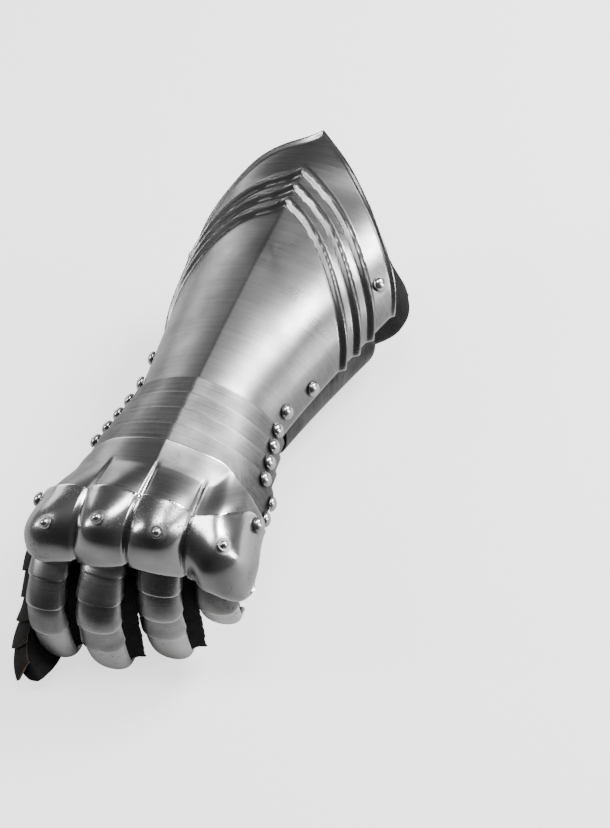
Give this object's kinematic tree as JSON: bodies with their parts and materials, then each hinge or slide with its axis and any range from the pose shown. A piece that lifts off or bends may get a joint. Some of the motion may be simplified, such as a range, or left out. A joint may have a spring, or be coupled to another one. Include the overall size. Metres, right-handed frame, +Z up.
{
  "type": "armoured gauntlet",
  "caption": "Left-hand plate gauntlet: flared fluted cuff, wrist lames, knuckle plate and finger lames over a leather glove, lying knuckles up.",
  "frame": {"origin": "middle of the footprint on the surface it lies on", "axes": "+Y from the fingers towards the elbow, +Z up through the back of the hand, thumb on the -X side"},
  "size_m": [0.139, 0.3296, 0.1004],
  "materials": {
    "satin_steel": "satin, fine brush lines, darker in the hollows",
    "bright_steel": "polished with small pits and dark stains",
    "dark_steel": "dull brown-grey satin",
    "rivet_steel": "polished domes",
    "black_leather": "matt black, fine grain, flesh side out",
    "scale_leather": "matt black face with raw light-brown cut edges"
  },
  "bodies": {
    "root": {"cuff_plate": "satin_steel", "under_plate": "dark_steel", "wrist_lame_1": "satin_steel", "wrist_lame_2": "satin_steel", "wrist_lame_3": "satin_steel", "wrist_lame_4": "satin_steel", "back_plate": "satin_steel", "knuckle_plate": "bright_steel", "index_lame_1": "bright_steel", "index_lame_2": "bright_steel", "index_lame_3": "bright_steel", "index_lame_4": "bright_steel", "middle_lame_1": "bright_steel", "middle_lame_2": "bright_steel", "middle_lame_3": "bright_steel", "middle_lame_4": "bright_steel", "middle_lame_5": "bright_steel", "ring_lame_1": "bright_steel", "ring_lame_2": "bright_steel", "ring_lame_3": "bright_steel", "ring_lame_4": "bright_steel", "little_lame_1": "bright_steel", "little_lame_2": "bright_steel", "glove_hand": "black_leather", "glove_index": "black_leather", "glove_middle": "black_leather", "glove_ring": "black_leather", "glove_little": "black_leather", "glove_thumb": "black_leather", "thumb_scale_1": "scale_leather", "thumb_scale_2": "scale_leather", "thumb_scale_3": "scale_leather", "thumb_scale_4": "scale_leather", "thumb_scale_5": "scale_leather", "rivet_cuff_rear_thumb": "rivet_steel", "rivet_cuff_rear_outer": "rivet_steel", "rivet_cuff_mid_thumb": "rivet_steel", "rivet_cuff_mid_outer": "rivet_steel", "rivet_cuff_front_thumb": "rivet_steel", "rivet_cuff_front_outer": "rivet_steel", "rivet_lame_1_thumb": "rivet_steel", "rivet_lame_1_outer": "rivet_steel", "rivet_lame_2_thumb": "rivet_steel", "rivet_lame_2_outer": "rivet_steel", "rivet_lame_3_thumb": "rivet_steel", "rivet_lame_3_outer": "rivet_steel", "rivet_lame_4_thumb": "rivet_steel", "rivet_lame_4_outer": "rivet_steel", "rivet_wing_rear": "rivet_steel", "rivet_wing_front": "rivet_steel", "rivet_knuckle_thumb": "rivet_steel", "rivet_knuckle_outer": "rivet_steel", "knuckle_stud_index": "rivet_steel", "knuckle_stud_middle": "rivet_steel", "knuckle_stud_ring": "rivet_steel", "knuckle_stud_little": "rivet_steel"}
  },
  "joints": []
}
